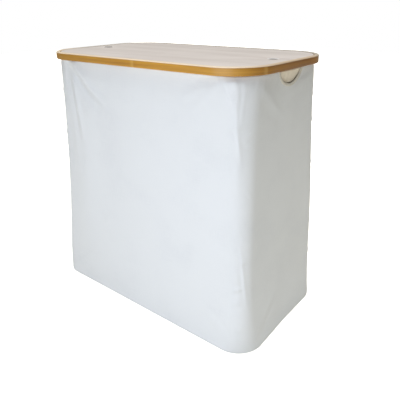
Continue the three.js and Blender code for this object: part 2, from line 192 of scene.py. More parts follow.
# Smaller folds are drawn from ranges in millimetres, in the order in which their code names them.
FOLD_SEED = 11
FRONT_LEFT, FRONT_RIGHT = 1, 2
CRUMPLES = 13
CRUMPLE = [(50, 550), (-30, 30), (12, 30), (-8, 8), (3, 6), (0.6, 1.4)]
RIM_PULL_START = 45 * MM
RIM_PULL = [(60, 130), (50, 110), (8, 20), (5, 9), (0.5, 1)]
HEM_PULL_START = 40 * MM
HEM_PULL_LOW = 14 * MM
HEM_PULL = [(50, 100), (0, 10), (50, 100), (5, 8), (0.4, 0.9)]
RIM_GATHERS = 46
RIM_GATHER_DROP = 1 * MM
RIM_GATHER = [(-6, 6), (12, 35), (3, 6), (0.2, 0.5)]
HEM_GATHERS = 60
HEM_GATHER_LOW = 4 * MM
HEM_GATHER = [(-4, 4), (14, 30), (3, 5), (0.2, 0.5)]

# Threads
STITCH_PITCH = 3.6 * MM
STITCH_LENGTH = 2.9 * MM
STITCH_RADIUS = 0.32 * MM
STITCH_SIDES = 6
STITCH_RINGS = 5
STITCH_CLEAR = 0.02 * MM
# Share of the pitch, to both sides of a thread, over which its direction is taken
STITCH_REACH = 0.3
# A thread's shape, in shares of its radius: its ends' thickness, its rise and how far it dives
STITCH_TIP = 0.35
STITCH_RISE = 0.5
STITCH_DIVE = 1.1
SHORT_STITCH = {"pitch": 3.0 * MM, "length": 2.4 * MM}

# Tape round the hand openings: how far it lies on the canvas and stands past the canvas's edge, half
# its thickness, how its edges are eased, its length round, and its seam
TAPE_LEG = 3.6 * MM
TAPE_TIP = 3.0 * MM
TAPE_HALF_THICK = 1.0 * MM
TAPE_EASE = (0.3 * MM, 0.35 * MM)
TAPE_LOOP = 16 * MM
TAPE_COLUMNS = 97
TAPE_TIP_STEPS = 8
TAPE_SEAM = 2.0 * MM
TAPE_SEAM_TOP = 3 * MM
TAPE_STITCH_RADIUS = 0.28 * MM

# Lid
LID_ROUND = 0.8 * MM
LID_CORNER_STEPS = 40
HOLE_RADIUS = 11 * MM
HOLE_EASE = 1.6 * MM
HOLE_EASE_DROPS = {"left": 0.3 * MM, "right": 2.1 * MM}
HOLE_EASE_STEPS = 6
HOLE_INSET = 40 * MM
HOLE_MARGIN = 0.15 * MM
LEAF_EDGE = 0.7 * MM
CUT_PAST = 5 * MM
WELD = 0.01 * MM
# Hinge skin: thickness, and its columns' distances from the seam in millimetres
FLAP_THICK = 0.6 * MM
FLAP_COLUMNS = (0, 0.2, 0.4, 0.6, 0.8, 1.0, 1.2, 1.4, 1.7, 2.2, 4, 7, 10, 13, 14.2, 14.5, 14.7)
FLAP_ROWS = 120
FLAP_CREASE = 0.16 * MM
FLAP_CREASE_WIDTH = 0.5
FLAP_LIP = 0.12 * MM
FLAP_LIP_START = 14.6
FLAP_UNDER = 0.05 * MM

# Liner bags
LINER_THICK = 1.2 * MM
LINER_TAPER = 16 * MM
LINER_STRAIGHT_SHARE = 0.7
LINER_INNER_CORNER = 14 * MM
LINER_TIGHTEST = 4 * MM
LINER_BOTTOM_ROUND = 12 * MM
LINER_COLUMNS = (60, 81, 14)
LINER_ROUND_ROWS = 4
LINER_LOW_ROWS = 90
LINER_TOP_ROWS = 64
LINER_TOP_BAND = 60 * MM
LINER_SEAM_ROW = -11
LINER_SLACK = 2.4 * MM
LINER_SAG = 2.6 * MM
LINER_HELD = 8 * MM
LINER_FADES = (30 * MM, 22 * MM)
LINER_FLOOR_SHARES = (0.1, 0.25, 0.4, 0.55, 0.7, 0.85, 0.95)
LINER_FLOOR_REACH = 0.12
LINER_FLOOR_WAVE = 30
LINER_FLOOR_RISE = 1.4 * MM
LINER_FLOOR_LIFT = 0.6
# Behind a hand opening: how far the liner lies behind the sleeve's outer face and presses into the
# opening, and the ranges over which it comes out below the rim, goes back lower down, ends beside the
# opening and turns at the opening's edge
LINER_BEHIND = 1.75 * MM
LINER_PRESS = 1.6 * MM
BULGE_TOP = (0.3 * MM, 3.2 * MM)
BULGE_END = (45 * MM, 95 * MM)
BULGE_BESIDE = (48 * MM, 80 * MM)
BULGE_EDGE = (-3.9 * MM, -2.1 * MM)
BULGE_TAUT = 6 * MM
# Above this, an outward direction belongs to a flat side and not to a corner.
SQUARE_ON = 0.9
# The liner lies flat behind its handles, and its slack sets in beside and under them.
HANDLE_BESIDE = (3 * MM, 22 * MM)
HANDLE_UNDER = (3 * MM, 25 * MM)
# Its folds, drawn like the sleeve's
LINER_SEED = 20
LINER_LONG_FOLDS = 26
LINER_LONG_FOLD = [(20, 90), (-60, 60), (0, 260), (7, 14), (1.6, 3.6)]
LINER_CRUMPLES = 40
LINER_CRUMPLE = [(20, 300), (20, 60), (-40, 40), (5, 9), (0.8, 2)]
LINER_PULLS = 22
LINER_PULL_START = 12 * MM
LINER_PULL = [(-30, 30), (50, 100), (4, 7), (0.7, 1.4)]

# Webbing handles
WEBBING = 25 * MM
WEBBING_RIBS = 14
WEBBING_RIB = 0.1 * MM
WEBBING_EDGE_POWER = 12
WEBBING_EDGE_THIN = 0.5
HANDLE_LEG_STEPS = 10
HANDLE_TURN_STEPS = 36
HANDLE_STITCH_RADIUS = 0.3 * MM
HANDLE_STITCH_CLEAR = 0.03 * MM
HANDLE_BOX = (9 * MM, 3 * MM, 26 * MM)

rim_low, rim_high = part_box("rim_band")
ring_low, ring_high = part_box("ledge_ring")
wall_low, wall_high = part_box("canvas_wall")
lid_low, lid_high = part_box("lid_leaf_right")
_, floor_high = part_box("canvas_floor")
liner_low, liner_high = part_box("liner_bag_right")


def linked(name, data):
    """A new object, put into the scene."""
    thing = bpy.data.objects.new(name, data)
    bpy.context.scene.collection.objects.link(thing)
    return thing


def bare_object(name, points, faces):
    mesh = bpy.data.meshes.new(name)
    mesh.from_pydata([tuple(p) for p in points], [], [tuple(f) for f in faces])
    mesh.update()
    return linked(name, mesh)


def cube_between(low, high):
    """Corners and faces of a box."""
    xs, ys, zs = ((low[i], high[i]) for i in range(3))
    points = [(x, y, z) for x in xs for y in ys for z in zs]
    faces = [(0, 1, 3, 2), (4, 6, 7, 5), (0, 4, 5, 1), (2, 3, 7, 6), (0, 2, 6, 4), (1, 5, 7, 3)]
    return points, faces


def quads_between(rings, sides):
    """Faces between rings of points that lie one after the other."""
    return [(k + i, k + (i + 1) % sides, k + sides + (i + 1) % sides, k + sides + i)
            for k in range(0, (rings - 1) * sides, sides) for i in range(sides)]


def caps(rings, sides):
    """The two faces that close the first and the last ring."""
    return [tuple(range(sides))[::-1], tuple(range((rings - 1) * sides, rings * sides))]


def smooth(thing, degrees):
    thing.data.shade_smooth()
    thing.data.set_sharp_from_angle(angle=math.radians(degrees))
    return thing


def applied(thing):
    """Applies all modifiers of a piece to its mesh."""
    view = bpy.context.evaluated_depsgraph_get()
    view.update()
    mesh = bpy.data.meshes.new_from_object(thing.evaluated_get(view))
    thing.modifiers.clear()
    old = thing.data
    thing.data = mesh
    bpy.data.meshes.remove(old)


def thicken(thing, thickness):
    """Gives a sheet its thickness, inwards from its outer face."""
    solid = thing.modifiers.new("thickness", "SOLIDIFY")
    solid.thickness = thickness
    solid.offset = -1
    solid.use_even_offset = True
    applied(thing)


def cut(thing, cutter):
    """Cuts one piece out of another, and drops the cutter."""
    knife = thing.modifiers.new("cut", "BOOLEAN")
    knife.object = cutter
    knife.operation = "DIFFERENCE"
    knife.solver = "EXACT"
    applied(thing)
    bpy.data.objects.remove(cutter)


def reworked(mesh, change):
    """Lets a function change a mesh in its editable form."""
    work = bmesh.new()
    work.from_mesh(mesh)
    work.verts.ensure_lookup_table()
    change(work)
    work.to_mesh(mesh)
    work.free()
    mesh.update()


def finished(thing, material, body="hamper_body", nodes=()):
    """Gives a piece its material, its body and the CAD nodes it stands for."""
    thing.data.materials.clear()
    thing.data.materials.append(material)
    if nodes:
        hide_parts(*nodes)
    if body:
        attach(thing, body)


def unit(vectors):
    return vectors / np.linalg.norm(vectors, axis=1)[:, None]


def closed(points):
    """A line of points with its first one again at its end."""
    return np.vstack([points, points[:1]])


def run_along(points):
    """Running length at each point of a line."""
    return np.append(0, np.cumsum(np.linalg.norm(np.diff(points, axis=0), axis=1)))


def at_height(points, z):
    """Flat points, put at a height."""
    return np.column_stack([points, np.full(len(points), z)])


def ease(value, start, end):
    share = np.clip((value - start) / (end - start), 0, 1)
    return share * share * (3 - 2 * share)


def free_between(z, low, high, fades):
    """0 at two heights where cloth is held, and 1 between them, with a fade at each."""
    return ease(z, low, low + fades[0]) * (1 - ease(z, high - fades[1], high))


def unevenness(spots, waves, shifts=(0, 0)):
    """Slow unevenness of hanging cloth at places in space, the same on every run."""
    broad, fine = (np.array([noise.noise(Vector(spot)) for spot in spots * scale + shift])
                   for scale, shift in zip(waves, shifts))
    return broad + FINE_SHARE * fine


def drawn(rng, ranges):
    """One random number from each range, in their order, in metres."""
    return [rng.uniform(*limits) * MM for limits in ranges]


# Rounded rectangles. A place on one is a number from 0 to 9: nine spans, from the middle of the
# back round by the left end and the front, each second span a corner.
SPANS = range(10)
FRONT_SPAN = 4
END_SPANS = {-1: 2, 1: 6}


def loop(t, x0, x1, y0, y1, radii):
    """Points and outward directions at the places t of a rounded rectangle."""
    bl, fl, fr, br = radii
    middle = (x0 + x1) / 2
    radius = np.interp(t, SPANS, [bl, bl, bl, fl, fl, fr, fr, br, br, br])
    core_x = np.interp(t, SPANS, [middle, x0 + bl, x0 + bl, x0 + fl, x0 + fl,
                                  x1 - fr, x1 - fr, x1 - br, x1 - br, middle])
    core_y = np.interp(t, SPANS, [y1 - bl, y1 - bl, y1 - bl, y0 + fl, y0 + fl,
                                  y0 + fr, y0 + fr, y1 - br, y1 - br, y1 - br])
    angle = QUARTER * (1 + np.interp(t, SPANS, [0, 0, 1, 1, 2, 2, 3, 3, 4, 4]))
    out = np.stack([np.cos(angle), np.sin(angle)], 1)
    return np.stack([core_x, core_y], 1) + out * radius[:, None], out


def even_loop(t, half_x, half_y, corner):
    return loop(t, -half_x, half_x, -half_y, half_y, [corner] * 4)


def shape_of(high):
    """Half sizes and corner radius of a piece that runs parallel to the rim, from its box."""
    return high.x, high.y, RIM_CORNER - (rim_high.x - high.x)


def inset(shape, distance):
    return tuple(v - distance for v in shape)


def span_lengths(half_x, half_y, corner):
    """Running length at each end of a span."""
    flat_x, flat_y, arc = half_x - corner, 2 * (half_y - corner), corner * QUARTER
    return np.cumsum([0, flat_x, arc, flat_y, arc, 2 * flat_x, arc, flat_y, arc, flat_x])


def columns(long_steps, hand_steps, corner_steps):
    """Places for the columns of a grid round a rounded rectangle. Two columns meet each corner of
    the hand openings, with their own number of steps between them."""
    marks = (0, hand_share, 1 - hand_share, 1)
    steps = (BESIDE_COLUMNS, hand_steps, BESIDE_COLUMNS)
    end = np.concatenate([np.linspace(a, b, count, endpoint=False)
                          for a, b, count in zip(marks, marks[1:], steps)])
    corner = np.arange(corner_steps) / corner_steps
    half = np.arange(long_steps // 2) * 2 / long_steps
    full = np.arange(long_steps) / long_steps
    spans = [half, corner, end, corner, full, corner, end, corner, half]
    return np.concatenate([i + span for i, span in enumerate(spans)])


clamp_shape = inset(shape_of(rim_high), RIM_THICK + GAP)
half_end = clamp_shape[1] - clamp_shape[2]
hand_share = (half_end - HAND_WIDTH / 2) / (2 * half_end)
hand_radius = ((HAND_WIDTH / 2) ** 2 + HAND_DEPTH ** 2) / (2 * HAND_DEPTH)
hand_centre_z = rim_low.z - HAND_DEPTH + hand_radius
PLACES = columns(*WALL_COLUMNS)
LINER_PLACES = columns(*LINER_COLUMNS)
RIM_LINE = span_lengths(*clamp_shape)


def grid_uvs(along, across):
    return np.stack(np.meshgrid(along, across), 2)


def grid_object(name, rows, uvs, around=True, closed_rows=False):
    """A mesh through rows of points. Rows run counterclockwise, and each next row lies above."""
    rows = np.asarray(rows, float)
    height, width = rows.shape[:2]
    row = np.arange(height if closed_rows else height - 1)[:, None]
    column = np.arange(width if around else width - 1)[None, :]
    above = (row + 1) % height
    beside = (column + 1) % width
    faces = np.stack([
        row * width + column, row * width + beside,
        above * width + beside, above * width + column,
    ], 2).reshape(-1, 4)
    thing = bare_object(name, rows.reshape(-1, 3), faces)
    corners = np.stack([
        uvs[row, column], uvs[row, column + 1],
        uvs[row + 1, column + 1], uvs[row + 1, column],
    ], 2)
    layer = thing.data.uv_layers.new(name="UVMap")
    layer.data.foreach_set("uv", corners.reshape(-1))
    thing.data.shade_smooth()
    return thing


def strip_object(name, rows, running, round_it, degrees):
    """A closed section swept along an open line, with a face on each end."""
    thing = grid_object(name, rows, grid_uvs(running, round_it), around=False, closed_rows=True)
    width = len(running)

    def close(work):
        for column in (0, width - 1):
            work.faces.new([work.verts[r * width + column] for r in range(len(rows))])
        bmesh.ops.recalc_face_normals(work, faces=work.faces)

    reworked(thing.data, close)
    return smooth(thing, degrees)


def rounded_profile(width, low, high, radius, steps):
    """Closed section of a band as (distance inwards, height), from its outer face's foot upwards."""
    centres = [(radius, high - radius), (width - radius, high - radius),
               (width - radius, low + radius), (radius, low + radius)]
    points = []
    for i, (cx, cz) in enumerate(centres):
        for k in range(steps + 1):
            angle = math.pi - (i + k / steps) * QUARTER
            points.append((cx + radius * math.cos(angle), cz + radius * math.sin(angle)))
    return points


def hoop_object(name, shape, profile):
    """A section swept round a rounded rectangle, with UVs in metres: along it, and round it."""
    rows = [at_height(even_loop(PLACES, *inset(shape, inwards))[0], z) for inwards, z in profile]
    along = np.interp(np.append(PLACES, SPANS[-1]), SPANS, span_lengths(*shape))
    return grid_object(name, rows, grid_uvs(along, run_along(closed(profile))), closed_rows=True)


class Nodes:
    """Makes and links the nodes of one tree by short calls."""

    def __init__(self, tree):
        self.tree = tree

    def node(self, kind, settings=None, **inputs):
        made = self.tree.nodes.new(kind)
        for name, value in (settings or {}).items():
            setattr(made, name, value)
        for name, value in inputs.items():
            self.feed(made, name.replace("_", " "), value)
        return made

    def feed(self, made, name, value):
        """Sets or links an input, which is named or given as slot and its number."""
        socket = made.inputs[int(name[5:])] if name.startswith("slot ") else made.inputs[name]
        if isinstance(value, bpy.types.NodeSocket):
            self.tree.links.new(value, socket)
        elif socket.type == "RGBA":
            socket.default_value = (*value, 1)
        else:
            socket.default_value = value

    def seen(self):
        """1 for what the camera sees directly, and 0 for reflected and scattered light."""
        return self.node("ShaderNodeLightPath").outputs["Is Camera Ray"]


class Shader(Nodes):
    """A principled material."""

    def __init__(self, name, roughness, **fixed):
        self.material = bpy.data.materials.new(name)
        self.material.use_nodes = True
        super().__init__(self.material.node_tree)
        self.surface = self.tree.nodes["Principled BSDF"]
        for socket, value in {"Roughness": roughness, **fixed}.items():
            self.feed(self.surface, socket.replace("_", " "), value)

    def place(self, kind, scale=(1, 1, 1)):
        """Coordinates of a kind, such as UV or Object, stretched along each axis."""
        source = self.node("ShaderNodeTexCoord").outputs[kind]
        return self.node("ShaderNodeMapping", Vector=source, Scale=scale).outputs[0]

    def split(self, kind):
        return self.node("ShaderNodeSeparateXYZ", Vector=self.place(kind)).outputs[0:2]

    def cloud(self, kind, scale, detail, distortion=0.0):
        """Noise, with one scale or with one for each axis."""
        where = self.place(kind, scale if isinstance(scale, tuple) else (scale,) * 3)
        return self.node("ShaderNodeTexNoise", Vector=where, Scale=1.0, Detail=detail,
                         Distortion=distortion).outputs[0]

    def math(self, operation, *values):
        made = self.node("ShaderNodeMath", {"operation": operation})
        for index, value in enumerate(values):
            self.feed(made, f"slot {index}", value)
        return made.outputs[0]

    def sum(self, *parts, start=0.0):
        """A start and values, each times its share."""
        total = start
        for value, share in parts:
            total = self.math("MULTIPLY_ADD", value, share, total)
        return total

    def ramp(self, value, stops):
        """Colours or greys along a value; stops are (place, colour or grey)."""
        made = self.node("ShaderNodeValToRGB", Fac=value)
        points = made.color_ramp.elements
        while len(points) < len(stops):
            points.new(0.5)
        for point, (place, colour) in zip(points, stops):
            point.position = place
            point.color = (*colour, 1) if hasattr(colour, "__len__") else (colour,) * 3 + (1,)
        return made.outputs[0]

    def blend(self, factor, a, b, how="MIX"):
        made = self.node("ShaderNodeMix", {"data_type": "RGBA", "blend_type": how})
        for index, value in ((0, factor), (6, a), (7, b)):
            self.feed(made, f"slot {index}", value)
        return made.outputs[2]

    def done(self, colour, height, distance, strength, roughness=None):
        """The material with a colour, and a relief of a distance and strength."""
        bump = self.node("ShaderNodeBump", Height=height, Distance=distance, Strength=strength)
        self.feed(self.surface, "Base Color", colour)
        self.feed(self.surface, "Normal", bump.outputs[0])
        if roughness:
            self.feed(self.surface, "Roughness", roughness)
        return self.material


def woven(name, light, dark, thread, slub=0.5):
    """Plain weave: threads of one pitch over and under each other, with slubs and faint clouds."""
    shader = Shader(name, 0.88, Sheen_Weight=0.15, Sheen_Roughness=0.5)
    warp, weft = (shader.math("SINE", shader.sum((way, math.pi / thread))) for way in shader.split("UV"))
    weave = shader.sum((shader.math("MULTIPLY", warp, weft), 0.5), start=0.5)
    slubs = shader.math("ADD", shader.cloud("UV", (40, 1100, 1), 3), shader.cloud("UV", (1100, 40, 1), 3))
    tone = shader.sum((slubs, slub), start=shader.cloud("Object", 9, 5))
    middle, spread = 0.5 + slub, 0.28
    colour = shader.ramp(tone, [(middle - spread, dark), (middle + spread, light)])
    return shader.done(colour, shader.sum((weave, 0.6), start=slubs), 0.25 * MM, 0.6)


def bamboo(name, dark, light, mark, coat, roughness, edge=None, tones=None):
    """Bent bamboo: long fibres, slow clouds and, at even steps along it, faint knuckles of the stalk.
    Tones multiply its colour: its own tone along the strip, with a painted highlight and painted
    shade. Edge tones are those of the sanded upper edge, where the inner fibres lie bare, with a
    painted highlight and painted shade on it too. Both are ramps along the strip's length."""
    shader = Shader(name, roughness, Coat_Weight=coat, Coat_Roughness=0.15)
    fibres = shader.cloud("UV", (9, 800, 1), 6, 0.4)
    streaks = shader.cloud("UV", (3.5, 130, 1), 4, 0.2)
    clouds = shader.cloud("UV", (5, 20, 1), 2)
    wander = shader.cloud("UV", (0.4, 160, 1), 1)
    u, v = shader.split("UV")
    along = shader.sum((u, 1 / RIM_LENGTH))
    mixed = shader.sum((fibres, 0.4), (streaks, 0.6))
    wood = shader.ramp(mixed, [(0.34, dark), (0.66, light)])
    wood = shader.blend(shader.ramp(clouds, [(0.35, 0.0), (0.7, 0.35)]), wood, dark)
    # The tone multiplier holds the strip's own tone together with a painted highlight and painted shade
    if tones:
        wood = shader.blend(1.0, wood, shader.ramp(along, tones), "MULTIPLY")
    turn = shader.sum((u, 1 / KNUCKLE_STEP), (wander, KNUCKLE_WANDER), start=KNUCKLE_SHIFT)
    turn = shader.math("FRACT", turn)
    wood = shader.blend(shader.ramp(turn, KNUCKLE_PALE), wood, mark)
    wood = shader.blend(shader.ramp(turn, KNUCKLE_DEEP), wood, dark)
    # The upper edge takes the pale sanded tone with its painted highlight, painted shade and painted shadow
    if edge:
        round_it = shader.math("FRACT", shader.sum((v, 1 / RIM_LOOP), start=EDGE_START / RIM_LOOP))
        round_it = shader.sum((streaks, 0.008), start=round_it)
        bare = shader.ramp(round_it, [(0.008, 0.0), (0.03, 1.0), (0.245, 1.0), (0.262, 0.0)])
        grain = shader.ramp(mixed, [(0.34, 0.16), (0.66, 0.0)])
        wood = shader.blend(bare, wood, shader.blend(grain, shader.ramp(along, edge), light))
    rough = shader.ramp(streaks, [(0.3, roughness - 0.06), (0.7, roughness + 0.08)])
    return shader.done(wood, fibres, 0.12 * MM, 0.35, rough)


def mottled(name, roughness, layers, stops, relief, rough=None, **fixed):
    """A material whose tone adds up layers of noise, each its scale, detail, distortion and share.
    The first layer is also its relief, of a distance and strength."""
    shader = Shader(name, roughness, **fixed)
    clouds = [shader.cloud("Object", *layer[:3]) for layer in layers]
    tone = shader.sum(*((cloud, layer[3]) for cloud, layer in zip(clouds, layers)))
    return shader.done(shader.ramp(tone, stops), clouds[0], *relief, rough and shader.ramp(tone, rough))


def plain_wood(name, dark, light, roughness, scale):
    """Straight grain along one axis of the object."""
    wide = tuple(s / 7 for s in scale)
    return mottled(name, roughness, [(scale, 6, 0.3, 0.45), (wide, 4, 0.6, 0.55)],
                   [(0.32, dark), (0.68, light)], (0.1 * MM, 0.3))


def moulded(name, colour, roughness):
    """Moulded plastic: fine orange-peel and slightly uneven gloss."""
    return mottled(name, roughness, [(700, 2, 0.0, 0.0), (40, 3, 0.0, 1.0)],
                   [(0.3, tuple(c * 0.94 for c in colour)), (0.7, colour)], (0.05 * MM, 0.25),
                   rough=[(0.3, roughness - 0.05), (0.7, roughness + 0.08)])


def lid_board(name, dark, light):
    """Whitewashed board: pores, soft grain and wide bands along X under a thin, rubbed white wash."""
    layers = [((30, 900, 300), 4, 0.0, 0.2), ((4.5, 170, 60), 7, 0.5, 0.4), ((2.2, 26, 8), 3, 0.3, 0.4)]
    return mottled(name, 0.5, layers, [(0.33, dark), (0.67, light)], (0.08 * MM, 0.3),
                   Coat_Weight=0.1, Coat_Roughness=0.3)


def hook_material_painted_shade(name):
    """Hook tape: a dense grid of small hooks on a woven backing, darker between the hooks as painted shade.
    """
    shader = Shader(name, 0.9, Sheen_Weight=0.2)
    cells = shader.node("ShaderNodeTexVoronoi", Vector=shader.place("Object", (900, 900, 900)), Scale=1.0)
    depth = cells.outputs["Distance"]
    # Colour falls with the relief: lighter on the hooks, and painted shade where the backing lies low
    colour = shader.ramp(depth, [(0.1, (0.84, 0.82, 0.77)), (0.8, (0.6, 0.58, 0.53))])
    return shader.done(colour, shader.ramp(depth, [(0.1, 1.0), (0.6, 0.0)]), 0.6 * MM, 0.9)


def floor_material(name):
    """Studio floor: white that fades into the backdrop, with a faint shadow under the hamper."""
    made = bpy.data.materials.new(name)
    made.use_nodes = True
    nodes = Nodes(made.node_tree)
    nodes.tree.nodes.remove(nodes.tree.nodes["Principled BSDF"])
    matt = nodes.node("ShaderNodeBsdfDiffuse", Color=FLOOR_COLOUR)
    glow = nodes.node("ShaderNodeEmission", Color=WHITE, Strength=nodes.seen())
    both = nodes.node("ShaderNodeAddShader", slot_0=matt.outputs[0], slot_1=glow.outputs[0])
    nodes.feed(nodes.tree.nodes["Material Output"], "Surface", both.outputs[0])
    return made


BAMBOO = bamboo("bamboo", (0.38, 0.165, 0.014), (0.68, 0.36, 0.045), (0.72, 0.47, 0.13), 0.1, 0.45,
                edge=EDGE_TONES_AND_PAINTED_LIGHT, tones=RIM_TONES_AND_PAINTED_LIGHT)
HOOP_BAMBOO = bamboo("hoop_bamboo", (0.48, 0.31, 0.13), (0.68, 0.5, 0.27), (0.74, 0.58, 0.36), 0.0, 0.55)
PALE_BAMBOO = plain_wood("pale_bamboo", (0.5, 0.33, 0.15), (0.68, 0.5, 0.28), 0.55, (60, 60, 12))
# Near-black wall inside each finger hole: painted shade
HOLE_BORE_PAINTED_SHADE = plain_wood("lid_hole_bore_painted_shade", (0.055, 0.05, 0.038), (0.11, 0.10, 0.08), 0.7, (200, 200, 30))
LID = lid_board("lid_wood", (0.60, 0.545, 0.51), (0.76, 0.71, 0.675))
# Near-white lip round each finger hole: a painted highlight on its eased edge
HOLE_LIP_PAINTED_HIGHLIGHT = lid_board("hole_lip_painted_highlight", (0.86, 0.84, 0.82), (0.92, 0.90, 0.88))
CANVAS = woven("canvas", (0.80, 0.83, 0.86), (0.76, 0.79, 0.825), 0.8 * MM)
LINER = woven("liner", (0.92, 0.85, 0.72), (0.85, 0.78, 0.65), 0.6 * MM)
BINDING = woven("binding", (0.74, 0.72, 0.66), (0.68, 0.66, 0.60), 0.7 * MM)
WEBBING_CLOTH = woven("webbing", (0.76, 0.68, 0.54), (0.66, 0.58, 0.44), 1.6 * MM, slub=0.3)
THREAD = moulded("thread", (0.80, 0.81, 0.82), 0.7)
WARM_THREAD = moulded("warm_thread", (0.72, 0.66, 0.54), 0.7)
PLASTIC = moulded("plastic", (0.86, 0.86, 0.84), 0.42)
STEEL = mottled("steel", 0.35, [(260, 4, 0.0, 1.0)],
                [(0.35, (0.45, 0.46, 0.48)), (0.65, (0.66, 0.67, 0.68))], (0.05 * MM, 0.2),
                rough=[(0.3, 0.28), (0.7, 0.46)], Metallic=1.0)
BOARD = mottled("board", 0.8, [(900, 5, 0.0, 0.5), ((300, 60, 300), 3, 1.0, 0.5)],
                [(0.35, (0.24, 0.16, 0.09)), (0.65, (0.46, 0.34, 0.22))], (0.15 * MM, 0.4))
HOOK = hook_material_painted_shade("hook_tape")

# The hidden solids stay: what their names begin with, how far their edges are eased, their material
SCREWS = ("ring_screw", "pole_foot_screw", "pole_cap_screw")
HIDDEN = [
    ("base_board", 0.8, BOARD), ("centre_rail", 0.8, PALE_BAMBOO), ("hinge_web", 0.15, BINDING),
    ("corner_pole", 0.6, PALE_BAMBOO), (SCREWS, 0.15, STEEL), (("pole_foot", "pole_cap"), 0.4, PLASTIC),
    ("rail_dowel", 0.5, PALE_BAMBOO), ("hook_tape", 0.2, HOOK),
]
EASE_ANGLE = 35


def finish_hidden_nodes():
    for node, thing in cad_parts.items():
        for start, width, material in HIDDEN:
            if node.startswith(start):
                thing.data.materials.clear()
                thing.data.materials.append(material)
                rounding = thing.modifiers.new("edge", "BEVEL")
                rounding.width = width * MM
                rounding.segments = 2
                rounding.limit_method = "ANGLE"
                rounding.angle_limit = math.radians(EASE_ANGLE)
                break


def make_rim():
    band = hoop_object("bamboo_rim", shape_of(rim_high),
                       rounded_profile(RIM_THICK, rim_low.z, rim_high.z, RIM_ROUND, RIM_ROUND_STEPS))
    finished(band, BAMBOO, nodes=("rim_band",))
    ring = hoop_object("inner_hoop", shape_of(ring_high),
                       rounded_profile(RING_THICK, ring_low.z, ring_high.z, RING_ROUND, RING_ROUND_STEPS))
    finished(ring, HOOP_BAMBOO, nodes=("ledge_ring",))


class Fold:
    """A tapered ridge in cloth, between two points (place along the wall at rim level, height)."""

    def __init__(self, u0, z0, u1, z1, width, rise):
        self.start = np.array([u0, z0])
        self.line = np.array([u1, z1]) - self.start
        self.width = width
        self.rise = rise

    def lift(self, u, z):
        """How far the fold lifts the cloth."""
        line, length = self.line, np.hypot(*self.line)
        du, dz = u - self.start[0], z - self.start[1]
        along = (du * line[0] + dz * line[1]) / length ** 2
        across = (du * line[1] - dz * line[0]) / length
        ends = np.sin(np.pi * np.clip(along, 0, 1)) ** TAPER_POWER * (along > 0) * (along < 1)
        ridge = np.exp(-(across / self.width) ** 2)
        valley = np.exp(-((across - VALLEY_SHIFT * self.width) / (VALLEY_WIDTH * self.width)) ** 2)
        return self.rise * ends * (ridge - VALLEY_DEPTH * valley)


def corner_middle(index):
    """Running length at the middle of a corner: back left, front left, front right, back right."""
    return (RIM_LINE[2 * index + 1] + RIM_LINE[2 * index + 2]) / 2


def make_folds():
    rng = random.Random(FOLD_SEED)
    top, total = rim_low.z, RIM_LINE[-1]
    folds = [Fold(at + u0, top + z0, at + u1, top + z1, width, rise)
             for at, table in ((RIM_LINE[FRONT_SPAN], LEFT_FOLDS), (corner_middle(FRONT_RIGHT), RIGHT_FOLDS))
             for u0, z0, u1, z1, width, rise in np.array(table) * MM]
    for corner in range(4):
        middle = corner_middle(corner)
        for _ in range(CRUMPLES):
            z, beside, reach, tilt, width, rise = drawn(rng, CRUMPLE)
            u = middle + beside
            folds.append(Fold(u - reach, z - tilt, u + reach, z + tilt, width, rise))
        for side in () if corner == FRONT_LEFT else (-1, -1, 1, 1):
            reach, fall, start, width, rise = drawn(rng, RIM_PULL)
            folds.append(Fold(middle + side * RIM_PULL_START, top - start,
                              middle + side * (RIM_PULL_START + reach), top - fall, width, rise))
        for side in (-1, 1):
            reach, start, end, width, rise = drawn(rng, HEM_PULL)
            folds.append(Fold(middle + side * HEM_PULL_START, HEM_PULL_LOW + start,
                              middle + side * (HEM_PULL_START + reach), end, width, rise))
    for _ in range(RIM_GATHERS):
        u, (lean, fall, width, rise) = rng.uniform(0, total), drawn(rng, RIM_GATHER)
        folds.append(Fold(u, top - RIM_GATHER_DROP, u + lean, top - fall, width, rise))
    for _ in range(HEM_GATHERS):
        u, (lean, end, width, rise) = rng.uniform(0, total), drawn(rng, HEM_GATHER)
        folds.append(Fold(u, HEM_GATHER_LOW, u + lean, end, width, rise))
    return folds


FOLDS = make_folds()


def curve_through(table, at):
    """The height at one place of a smooth curve through (place, height) pairs."""
    places, heights = np.array(table).T
    slopes = np.gradient(heights, places)
    i = int(np.clip(np.searchsorted(places, at) - 1, 0, len(places) - 2))
    step = places[i + 1] - places[i]
    t = (at - places[i]) / step
    return (heights[i] * (1 + 2 * t) * (1 - t) ** 2 + slopes[i] * step * t * (1 - t) ** 2
            + heights[i + 1] * t * t * (3 - 2 * t) - slopes[i + 1] * step * t * t * (1 - t))


def pole_ridge(u, z):
    """Under the rim the sleeve stands out over its corner poles as soft upright ridges."""
    below = rim_low.z - z
    shown = ease(below, 0, RIDGE_TOP) * (1 - ease(below, RIDGE_TOP, RIDGE_LENGTH))
    lift = np.zeros(len(u))
    for corner, (share, shift) in enumerate(zip(RIDGE_SHARES, RIDGE_SHIFTS)):
        away = np.sqrt((u - corner_middle(corner) - shift) ** 2 + RIDGE_ROUND ** 2) - RIDGE_ROUND
        lift += share * RIDGE_RISE * np.exp(-away / RIDGE_WIDTH)
    return lift * shown


